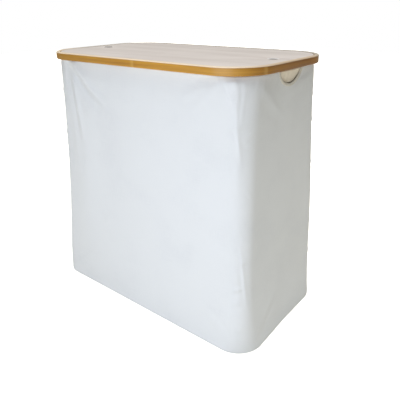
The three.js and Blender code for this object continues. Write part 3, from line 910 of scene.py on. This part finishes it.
def wall_line(places, z):
    """Points and outward directions of the sleeve's outer face at one height."""
    share = min(max((z - wall_low.z) / (rim_low.z - wall_low.z), 0), 1)
    half_x = wall_high.x + (clamp_shape[0] - wall_high.x) * share
    half_y = wall_high.y + (clamp_shape[1] - wall_high.y) * share
    radii = [base + (clamp_shape[2] - base) * share - tighten * (1 - abs(2 * share - 1) ** steepness)
             for base, tighten, steepness in zip(BASE_CORNERS, CORNER_TIGHTENS, TIGHTEN_STEEPNESS)]
    points, out = loop(places, -half_x, half_x, -half_y, half_y, radii)
    lean = (out @ np.array([-1, -1]) / math.sqrt(2) + 1) / 2
    least, most = (curve_through(table, share) * MM for table in (BOW_BACK_RIGHT, BOW_FRONT_LEFT))
    points = points - out * (least + (most - least) * lean)[:, None]
    # At the right end the base comes out at its front corner and goes in at its back corner.
    askew = -ASKEW * points[:, 1] / half_y
    askew = np.where(askew < 0, askew * ASKEW_BACK_SHARE, askew)
    there = ease(points[:, 0], ASKEW_START * half_x, ASKEW_FULL * half_x)
    points[:, 0] += askew * there * (1 - ease(share, 0, ASKEW_HEIGHT))
    return points, out


def wall_points(places, heights):
    """The sleeve's outer face at one place and height each, folds and hem included."""
    u = np.interp(places, SPANS, RIM_LINE)
    found = np.zeros((len(places), 3))
    outward = np.zeros((len(places), 3))
    levels = np.round(heights / LEVEL_STEP) * LEVEL_STEP
    for z in np.unique(levels):
        here = levels == z
        points, out = wall_line(places[here], z)
        found[here] = np.column_stack([points, heights[here]])
        outward[here, :2] = out
    loose = (unevenness(found, WALL_WAVES) * WALL_UNEVEN * free_between(heights, 0, rim_low.z, UNEVEN_FADES)
             + sum(fold.lift(u, heights) for fold in FOLDS) * free_between(heights, 0, rim_low.z, FOLD_FADES)
             + pole_ridge(u, heights)
             + HEM_STEP * (1 - ease(heights, HEM_HEIGHT - HEM_FADE, HEM_HEIGHT + HEM_FADE)))
    return found + outward * loose[:, None], outward


def wall_tops(places):
    """Where the sleeve ends under the rim: at the rim, or at the edge of a hand opening."""
    tops = np.full(len(places), rim_low.z)
    in_ends = sum((places >= start) & (places <= start + 1) for start in END_SPANS.values())
    # The sleeve narrows downwards, so each pass finds the edge a little more closely.
    for _ in range(EDGE_PASSES):
        for i in np.nonzero(in_ends)[0]:
            y = wall_line(places[i:i + 1], tops[i])[0][0, 1]
            if abs(y) < HAND_WIDTH / 2:
                tops[i] = min(hand_centre_z - math.sqrt(hand_radius ** 2 - y * y), rim_low.z)
            else:
                tops[i] = rim_low.z
    return tops


def make_wall():
    """The canvas sleeve: rows from the turned-under hem to the rim, then up into the clamp."""
    tops = wall_tops(PLACES)
    heights = HEM_ROUND + (tops - HEM_ROUND) * np.linspace(0, 1, WALL_ROWS)[:, None]
    places = np.broadcast_to(PLACES, heights.shape)
    points, outward = (found.reshape(WALL_ROWS, -1, 3)
                       for found in wall_points(places.ravel(), heights.ravel()))
    under = []
    for k in range(HEM_STEPS, 0, -1):
        angle = QUARTER * k / HEM_STEPS
        under.append(points[0] - outward[0] * HEM_ROUND * (1 - math.cos(angle))
                     + np.array([0, 0, -HEM_ROUND * math.sin(angle)]))
    tucked = under[0] - outward[0] * HEM_TUCK
    running = np.append(np.interp(PLACES, SPANS, RIM_LINE), RIM_LINE[-1])
    drop = [-HEM_ROUND - HEM_TUCK] + [-HEM_ROUND * k / HEM_STEPS for k in range(HEM_STEPS, 0, -1)]
    tall = np.concatenate([
        np.broadcast_to(np.array(drop)[:, None], (len(drop), len(running))),
        np.concatenate([heights, heights[:, :1]], 1),
    ])
    uvs = np.stack([np.broadcast_to(running, tall.shape), tall], 2)
    wall = grid_object("canvas_sleeve", np.concatenate([[tucked], under, points]), uvs)
    clamp_levels = (rim_low.z, rim_low.z + CLAMP_MIDDLE, wall_high.z)
    clamp_line, _ = even_loop(PLACES, *clamp_shape)
    clamp = grid_object("canvas_clamped_edge", [at_height(clamp_line, z) for z in clamp_levels],
                        grid_uvs(running, clamp_levels))
    for piece in (wall, clamp):
        thicken(piece, CLOTH_THICK)
        finished(piece, CANVAS, nodes=("canvas_wall",))
    return wall, clamp


def resample(points, others, pitch, around):
    """Evenly spaced points along a line, what goes with them, and the line's directions there."""
    line, extra = (closed(points), closed(others)) if around else (points, others)
    length = run_along(line)
    count = int(length[-1] / pitch)
    at = (np.arange(count) + 0.5) * length[-1] / count

    def pick(places, values):
        return np.stack([np.interp(places, length, values[:, i]) for i in range(3)], 1)

    reach = pitch * STITCH_REACH
    return pick(at, line), pick(at, extra), pick(at + reach, line) - pick(at - reach, line)


def stitches(name, points, outward, material, slot, around=False,
             pitch=STITCH_PITCH, length=STITCH_LENGTH, radius=STITCH_RADIUS):
    """A row of stitches: short arched threads that dive into the cloth at both ends."""
    centres, out, along = resample(points, outward, pitch, around)
    along = unit(along)
    out = unit(out - along * np.sum(out * along, axis=1)[:, None])
    across = np.cross(out, along)
    vertices = []
    for k in range(STITCH_RINGS):
        share = k / (STITCH_RINGS - 1) * 2 - 1
        thick = radius * (STITCH_TIP + (1 - STITCH_TIP) * math.sqrt(max(0, 1 - share ** 2)))
        lift = radius * (STITCH_RISE - STITCH_DIVE * share ** 2)
        for side in range(STITCH_SIDES):
            angle = 2 * math.pi * side / STITCH_SIDES
            vertices.append(centres + along * (share * length / 2)
                            + out * (lift + thick * math.sin(angle)) + across * thick * math.cos(angle))
    each = len(vertices)
    pattern = quads_between(STITCH_RINGS, STITCH_SIDES) + caps(STITCH_RINGS, STITCH_SIDES)
    faces = [tuple(v + i * each for v in face) for i in range(len(centres)) for face in pattern]
    row = bare_object(name, np.stack(vertices, 1).reshape(-1, 3), faces)
    row.data.shade_smooth()
    finished(row, material)


def make_hem_stitches():
    dense = np.linspace(0, SPANS[-1], HEM_STITCH_PLACES, endpoint=False)
    points, outward = wall_points(dense, np.full(len(dense), HEM_STITCH_Z))
    stitches("hem_stitches", points, outward, THREAD, "canvas", around=True)


def fan(ring, rings=6):
    """A flat patch inside a ring of points: shrinking rings, then a middle point."""
    middle = ring.mean(0)
    count = len(ring)
    points = [point for k in range(rings) for point in middle + (ring - middle) * (1 - k / rings)]
    last = (rings - 1) * count
    faces = quads_between(rings, count)
    faces += [(last + i, last + (i + 1) % count, rings * count) for i in range(count)]
    return [*points, middle], faces


def make_floor_cloth():
    """The sleeve's canvas floor, a flat sheet inside the turned hem."""
    shape = inset((floor_high.x, floor_high.y, BASE_CORNER), FLOOR_INSET)
    flat = bare_object("canvas_base_cloth", *fan(at_height(even_loop(PLACES, *shape)[0], FLOOR_LEVEL)))
    layer = flat.data.uv_layers.new(name="UVMap")
    for corner in flat.data.loops:
        layer.data[corner.index].uv = flat.data.vertices[corner.vertex_index].co.xy
    thicken(flat, FLOOR_THICK)
    finished(flat, CANVAS, nodes=("canvas_floor",))
    return flat


def make_bindings():
    """Tape folded over the edge of each hand opening, with one row of stitches."""
    half, (ease_leg, ease_thick) = TAPE_HALF_THICK, TAPE_EASE
    angles = [math.pi * (0.5 + k / TAPE_TIP_STEPS) for k in range(TAPE_TIP_STEPS + 1)]
    section = [(-TAPE_TIP + half + half * math.cos(a), half * math.sin(a)) for a in angles]
    section += [(TAPE_LEG - ease_leg, -half), (TAPE_LEG, -half + ease_thick),
                (TAPE_LEG, half - ease_thick), (TAPE_LEG - ease_leg, half)]
    highest = rim_low.z - GAP
    for name, side in ENDS:
        places = END_SPANS[side] + np.linspace(hand_share, 1 - hand_share, TAPE_COLUMNS)
        points, outward = wall_points(places, np.minimum(wall_tops(places), highest))
        away = np.cross(unit(np.gradient(points, axis=0)), outward)
        away = unit(away * -np.sign(away[len(away) // 2, 2]))
        middle = points - outward * CLOTH_THICK / 2
        rows = [middle + away * a + outward * b for a, b in section]
        for row in rows:
            row[:, 2] = np.minimum(row[:, 2], highest)
        tape = strip_object(f"hand_tape_{name}", rows, run_along(points),
                            np.linspace(0, TAPE_LOOP, len(section) + 1), degrees=50)
        finished(tape, BINDING, nodes=(f"hand_binding_{name}",))
        seam = middle + away * TAPE_SEAM + outward * (half + STITCH_CLEAR)
        keep = seam[:, 2] < rim_low.z - TAPE_SEAM_TOP
        stitches(f"hand_tape_stitches_{name}", seam[keep], outward[keep], WARM_THREAD, "webbing",
                 radius=TAPE_STITCH_RADIUS, **SHORT_STITCH)


def arc_points(cx, cy, radius, start, end, steps):
    """Points of an arc between two angles in degrees."""
    angles = np.radians(np.linspace(start, end, steps + 1))
    return [(cx + radius * math.cos(a), cy + radius * math.sin(a)) for a in angles]


def flat_board(name, outline, low, high, round_edge):
    """A board from a flat outline, with rounded edges on both faces."""
    curve = bpy.data.curves.new(name, "CURVE")
    curve.dimensions = "2D"
    curve.fill_mode = "BOTH"
    spline = curve.splines.new("POLY")
    spline.points.add(len(outline) - 1)
    for point, (x, y) in zip(spline.points, outline):
        point.co = (x, y, 0, 1)
    spline.use_cyclic_u = True
    curve.extrude = (high - low) / 2 - round_edge
    curve.bevel_depth = round_edge
    curve.bevel_resolution = 2
    curve.offset = -round_edge
    pattern = linked(name + "_pattern", curve)
    view = bpy.context.evaluated_depsgraph_get()
    view.update()
    mesh = bpy.data.meshes.new_from_object(pattern.evaluated_get(view))
    bpy.data.objects.remove(pattern)
    bpy.data.curves.remove(curve)
    mesh.transform(Matrix.Translation((0, 0, (high + low) / 2)))

    def weld(work):
        bmesh.ops.remove_doubles(work, verts=work.verts, dist=WELD)
        bmesh.ops.recalc_face_normals(work, faces=work.faces)

    reworked(mesh, weld)
    return linked(name, mesh)


def finger_hole(centre, drop, steps=72):
    """Cutter for a finger hole whose upper edge is rounded over, down to a drop."""
    turns = [QUARTER * k / HOLE_EASE_STEPS for k in range(HOLE_EASE_STEPS + 1)]
    profile = [(HOLE_RADIUS, lid_low.z - CUT_PAST)]
    profile += [(HOLE_RADIUS + HOLE_EASE * (1 - math.cos(a)), lid_high.z - drop * (1 - math.sin(a)))
                for a in turns]
    profile.append((HOLE_RADIUS + HOLE_EASE, lid_high.z + CUT_PAST))
    angles = np.arange(steps) * 2 * math.pi / steps
    ring = np.stack([np.cos(angles), np.sin(angles)], 1)
    points = np.concatenate([at_height(centre + ring * radius, z) for radius, z in profile])
    return bare_object("finger_hole", points, quads_between(len(profile), steps) + caps(len(profile), steps))


def make_lids():
    """Both leaves: board, rebate for the hinge skin, finger hole with its lip, and the skin."""
    half_x, half_y, corner = shape_of(lid_high)
    cx, cy = half_x - corner, half_y - corner
    flap_low, flap_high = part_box("hinge_flap_right")
    outline = [(LEAF_EDGE, -half_y), *arc_points(cx, -cy, corner, -90, 0, LID_CORNER_STEPS),
               *arc_points(cx, cy, corner, 0, 90, LID_CORNER_STEPS), (LEAF_EDGE, half_y)]
    for name, side in ENDS:
        leaf = flat_board(f"lid_board_{name}", [(side * x, side * y) for x, y in outline],
                          lid_low.z, lid_high.z, LID_ROUND)
        x0, x1 = sorted((side * (flap_high.x + GAP), -side * CUT_PAST))
        rebate = cube_between((x0, flap_low.y - GAP, flap_low.z - GAP),
                              (x1, flap_high.y + GAP, lid_high.z + CUT_PAST))
        cut(leaf, bare_object("rebate", *rebate))
        centre = (side * (half_x - HOLE_INSET), 0)
        cut(leaf, finger_hole(centre, HOLE_EASE_DROPS[name]))
        finished(smooth(leaf, degrees=35), LID, f"lid_{name}", (f"lid_leaf_{name}",))
        # The hole's inner wall takes the painted shade
        leaf.data.materials.append(HOLE_BORE_PAINTED_SHADE)
        # The eased lip round the hole takes the painted highlight
        leaf.data.materials.append(HOLE_LIP_PAINTED_HIGHLIGHT)
        for face in leaf.data.polygons:
            reach = max((leaf.data.vertices[i].co.xy - Vector(centre)).length for i in face.vertices)
            if reach < HOLE_RADIUS + HOLE_MARGIN:
                face.material_index = 1
            elif reach < HOLE_RADIUS + HOLE_EASE + HOLE_MARGIN:
                face.material_index = 2
        make_flap(name, side, flap_low, flap_high)


def make_flap(name, side, low, high):
    """The living hinge's skin on one leaf: a thin strip over the seam between the rail and the leaf, with a
    shallow crease where the real skin bends.
    """
    depth = np.linspace(low.y, high.y, FLAP_ROWS)
    top = []
    for x in FLAP_COLUMNS:
        sink = FLAP_CREASE * math.exp(-(x / FLAP_CREASE_WIDTH) ** 2) + FLAP_LIP * (x > FLAP_LIP_START)
        top.append([(side * x * MM, y, lid_high.z - sink) for y in depth])
    under_z = lid_high.z - FLAP_THICK + FLAP_UNDER
    rows = top + [[(x, y, under_z) for x, y, _ in row] for row in reversed(top)]
    skin = strip_object(f"hinge_skin_{name}", rows, depth - depth[0], np.arange(len(rows) + 1) * MM,
                        degrees=40)
    finished(skin, LID, None, (f"hinge_flap_{name}",))
    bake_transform(skin)


def liner_line(side, share, tuck):
    """Points and outward directions of one level of a liner, which tapers towards its floor."""
    taper = LINER_TAPER * max(0, 1 - share / LINER_STRAIGHT_SHARE) + tuck
    near = liner_low.x + (taper + tuck) / 2
    far = liner_high.x - taper
    half_y = liner_high.y - taper
    tight = max(LINER_INNER_CORNER - tuck / 2, LINER_TIGHTEST)
    wide = shape_of(liner_high)[2] - taper
    if side > 0:
        return loop(LINER_PLACES, near, far, -half_y, half_y, [tight, tight, wide, wide])
    return loop(LINER_PLACES, -far, -near, -half_y, half_y, [wide, wide, tight, tight])


def make_liner_folds(rng, around):
    """Slack of a liner hung by its hem: long falling folds, crumples low down, pulls at the hem."""
    folds = []
    low, high = liner_low.z, liner_high.z
    for _ in range(LINER_LONG_FOLDS):
        u, (start, lean, end, width, rise) = rng.uniform(0, around), drawn(rng, LINER_LONG_FOLD)
        folds.append(Fold(u, high - start, u + lean, low + end, width, -rise))
    for _ in range(LINER_CRUMPLES):
        u, (z, reach, tilt, width, rise) = rng.uniform(0, around), drawn(rng, LINER_CRUMPLE)
        folds.append(Fold(u - reach, low + z - tilt, u + reach, low + z + tilt, width, -rise))
    for _ in range(LINER_PULLS):
        u, (lean, fall, width, rise) = rng.uniform(0, around), drawn(rng, LINER_PULL)
        folds.append(Fold(u, high - LINER_PULL_START, u + lean, high - fall, width, -rise))
    return folds


def sleeve_reach(y, z, side):
    """How far out the sleeve's outer face lies, at the places y of one level of an end."""
    ends = END_SPANS[side] + np.array([0.0, 1.0])
    (_, start), (_, stop) = wall_line(ends, z)[0]
    places = ends[0] + np.clip((y - start) / (stop - start), 0, 1)
    return np.abs(wall_points(places, np.full(len(y), z))[0][:, 0])


def bulge(points, z, out, side):
    """A liner behind a hand opening: it comes out from under the hoop, lies against the sleeve,
    and fills the opening flush with the canvas."""
    below = rim_low.z - z
    rise = ease(below, *BULGE_TOP) * (1 - ease(below, *BULGE_END))
    if rise <= 0:
        return np.zeros(len(points))
    y = points[:, 1]
    across = 1 - ease(np.abs(y), *BULGE_BESIDE)
    flush = LINER_PRESS * (1 - ease(np.hypot(y, z - hand_centre_z) - hand_radius, *BULGE_EDGE))
    gap = sleeve_reach(y, z, side) - LINER_BEHIND - np.abs(points[:, 0])
    return (gap * across + flush) * rise * (out[:, 0] * side > SQUARE_ON)


def beside_handle(points, z, out):
    """0 where a webbing handle hangs on a liner's front or back, and 1 away from it."""
    low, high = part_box("liner_handle_right_front")
    middle, half = (low.x + high.x) / 2, (high.x - low.x) / 2
    across = ease(np.abs(np.abs(points[:, 0]) - middle) - half, *HANDLE_BESIDE)
    under = ease(low.z - z, *HANDLE_UNDER)
    return np.where(np.abs(out[:, 1]) > SQUARE_ON, np.maximum(across, under), 1)


def liner_levels():
    """Heights of a liner's rows, and how far its rounded bottom edge draws each one in."""
    turn = rim_low.z - LINER_TOP_BAND
    levels = [(liner_low.z + LINER_BOTTOM_ROUND * (1 - math.cos(angle)),
               LINER_BOTTOM_ROUND * (1 - math.sin(angle)))
              for angle in np.linspace(0, QUARTER, LINER_ROUND_ROWS, endpoint=False)]
    straight = [*np.linspace(liner_low.z + LINER_BOTTOM_ROUND, turn, LINER_LOW_ROWS, endpoint=False),
                *np.linspace(turn, liner_high.z, LINER_TOP_ROWS)]
    return levels + [(z, 0) for z in straight]


def make_liner(name, side):
    height = liner_high.z - liner_low.z
    top_line, top_out = liner_line(side, 1, 0)
    running = run_along(closed(top_line))
    folds = make_liner_folds(random.Random(LINER_SEED + side), running[-1])
    rows, tall = [], []
    for z, tuck in liner_levels():
        points, out = liner_line(side, (z - liner_low.z) / height, tuck)
        free = free_between(z, liner_low.z, liner_high.z - LINER_HELD, LINER_FADES)
        sag = unevenness(at_height(points, z), LINER_WAVES, LINER_WAVE_SHIFTS * side)
        lift = sum(fold.lift(running[:-1], z) for fold in folds)
        belly = bulge(points, z, out, side)
        behind = 1 - ease(belly, 0, BULGE_TAUT)
        loose = (lift * behind - LINER_SLACK - sag * LINER_SAG) * free * beside_handle(points, z, out)
        rows.append(at_height(points + out * (belly + loose)[:, None], z))
        tall.append(z - liner_low.z)
    middle = rows[0].mean(0)
    floor_rows = []
    for share in LINER_FLOOR_SHARES:
        ring = middle + (rows[0] - middle) * share
        ring[:, 2] += [LINER_FLOOR_RISE * (noise.noise(Vector((x, y, side))) + LINER_FLOOR_LIFT)
                       for x, y in ring[:, :2] * LINER_FLOOR_WAVE]
        floor_rows.append(ring)
    floor_tall = [-LINER_FLOOR_REACH * (1 - share) for share in LINER_FLOOR_SHARES]
    bag = grid_object(f"liner_cloth_{name}", floor_rows + rows, grid_uvs(running, floor_tall + tall))
    close_floor(bag, len(LINER_PLACES))
    thicken(bag, LINER_THICK)
    finished(bag, LINER, nodes=(f"liner_bag_{name}",))
    inwards = at_height(-top_out, 0)
    stitches(f"liner_hem_stitches_{name}", rows[LINER_SEAM_ROW] + inwards * (LINER_THICK + STITCH_CLEAR),
             inwards, WARM_THREAD, "liner", around=True)


def close_floor(thing, width):
    """Fills the hole inside the innermost row of a liner's floor."""
    def fill(work):
        layer = work.loops.layers.uv.active
        face = work.faces.new([work.verts[i] for i in range(width)][::-1])
        for corner in face.loops:
            corner[layer].uv = corner.vert.co.xy
        face.smooth = True
        bmesh.ops.triangulate(work, faces=[face])

    reworked(thing.data, fill)


def make_handle(name):
    """A webbing loop sewn inside a liner, with a boxed cross of stitches on each end."""
    low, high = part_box(f"liner_handle_{name}")
    centre = (high + low) / 2
    radius = (high.x - low.x) / 2 - WEBBING / 2
    turn_z = low.z + (high.x - low.x) / 2
    down = np.linspace(high.z, turn_z, HANDLE_LEG_STEPS, endpoint=False)
    up = np.linspace(turn_z, high.z, HANDLE_LEG_STEPS + 1)[1:]
    path = np.array([(centre.x - radius, z) for z in down]
                    + arc_points(centre.x, turn_z, radius, 180, 360, HANDLE_TURN_STEPS)
                    + [(centre.x + radius, z) for z in up])
    slope = unit(np.gradient(path, axis=0))
    half_thick = (high.y - low.y) / 2
    section = []
    for k in range(WEBBING_RIBS + 1):
        share = k / WEBBING_RIBS * 2 - 1
        thin = WEBBING_EDGE_THIN * abs(share) ** WEBBING_EDGE_POWER
        crown = half_thick * (1 - thin) - WEBBING_RIB * (k % 2)
        section.append((share * WEBBING / 2, crown))
    section += [(w, -crown) for w, crown in reversed(section)]
    rows = [np.column_stack([path[:, 0] - slope[:, 1] * w, np.full(len(path), centre.y + lift),
                             path[:, 1] + slope[:, 0] * w]) for w, lift in section]
    strap = strip_object(f"webbing_loop_{name}", rows, run_along(path), run_along(closed(section)),
                         degrees=60)
    finished(strap, WEBBING_CLOTH, nodes=(f"liner_handle_{name}",))
    inward = -1 if centre.y > 0 else 1
    face_y = centre.y + inward * (half_thick + HANDLE_STITCH_CLEAR)
    for end, x in (("a", centre.x - radius), ("b", centre.x + radius)):
        left, right = x - HANDLE_BOX[0], x + HANDLE_BOX[0]
        top, bottom = high.z - HANDLE_BOX[1], high.z - HANDLE_BOX[2]
        box = [(left, top), (right, top), (right, bottom), (left, bottom), (left, top), (right, bottom)]
        for tag, chain in (("box", box), ("cross", [(right, top), (left, bottom)])):
            spots = np.array([(px, face_y, pz) for px, pz in chain])
            outs = np.tile([0.0, inward, 0.0], (len(spots), 1))
            stitches(f"loop_stitches_{name}_{end}_{tag}", spots, outs, WARM_THREAD, "webbing",
                     radius=HANDLE_STITCH_RADIUS, **SHORT_STITCH)


def make_camera():
    data = bpy.data.cameras.new("camera")
    data.lens = CAMERA_LENS
    data.sensor_width = CAMERA_SENSOR
    data.shift_y = CAMERA_SHIFT_Y
    camera = linked("camera", data)
    turn = (Matrix.Rotation(CAMERA_AZIMUTH, 4, "Z") @ Matrix.Rotation(QUARTER - CAMERA_ELEVATION, 4, "X")
            @ Matrix.Rotation(CAMERA_ROLL, 4, "Z"))
    camera.matrix_world = (Matrix.Translation(CAMERA_TARGET) @ turn
                           @ Matrix.Translation((0, 0, CAMERA_DISTANCE)))
    bpy.context.scene.camera = camera


def make_studio():
    """Overhead sun, soft lights, a white backdrop with a dim warm surround, and the floor."""
    scene = bpy.context.scene
    scene.view_settings.view_transform = "Standard"
    scene.world = bpy.data.worlds.new("studio")
    scene.world.use_nodes = True
    nodes = Nodes(scene.world.node_tree)
    surround = nodes.tree.nodes["Background"]
    nodes.feed(surround, "Color", SURROUND_COLOUR)
    nodes.feed(surround, "Strength", SURROUND)
    backdrop = nodes.node("ShaderNodeBackground", Color=WHITE, Strength=1.0)
    either = nodes.node("ShaderNodeMixShader", slot_0=nodes.seen(), slot_1=surround.outputs[0],
                        slot_2=backdrop.outputs[0])
    nodes.feed(nodes.tree.nodes["World Output"], "Surface", either.outputs[0])
    overhead = bpy.data.lights.new("overhead", "SUN")
    overhead.energy = OVERHEAD
    overhead.angle = math.radians(OVERHEAD_ANGLE)
    overhead.color = OVERHEAD_COLOUR
    linked("overhead", overhead)
    for name, (place, target, size, power, colour) in SOFT_LIGHTS.items():
        data = bpy.data.lights.new(name, "AREA")
        data.shape = "RECTANGLE"
        data.size, data.size_y = size
        data.energy = power
        data.color = colour
        lamp = linked(name, data)
        lamp.location = place
        lamp.rotation_euler = (Vector(target) - Vector(place)).to_track_quat("-Z", "Y").to_euler()
        lamp.visible_camera = False
    floor = bare_object("studio_floor", *cube_between((-FLOOR_HALF, -FLOOR_HALF, -FLOOR_DEPTH),
                                                      (FLOOR_HALF, FLOOR_HALF, 0)))
    floor.data.materials.append(floor_material("studio_floor"))


make_camera()
make_studio()
make_rim()
wall, clamp = make_wall()
make_hem_stitches()
floor_cloth = make_floor_cloth()
make_bindings()
make_lids()
for end_name, end_side in ENDS:
    make_liner(end_name, end_side)
for handle_name in ("left_front", "left_back", "right_front", "right_back"):
    make_handle(handle_name)
finish_hidden_nodes()
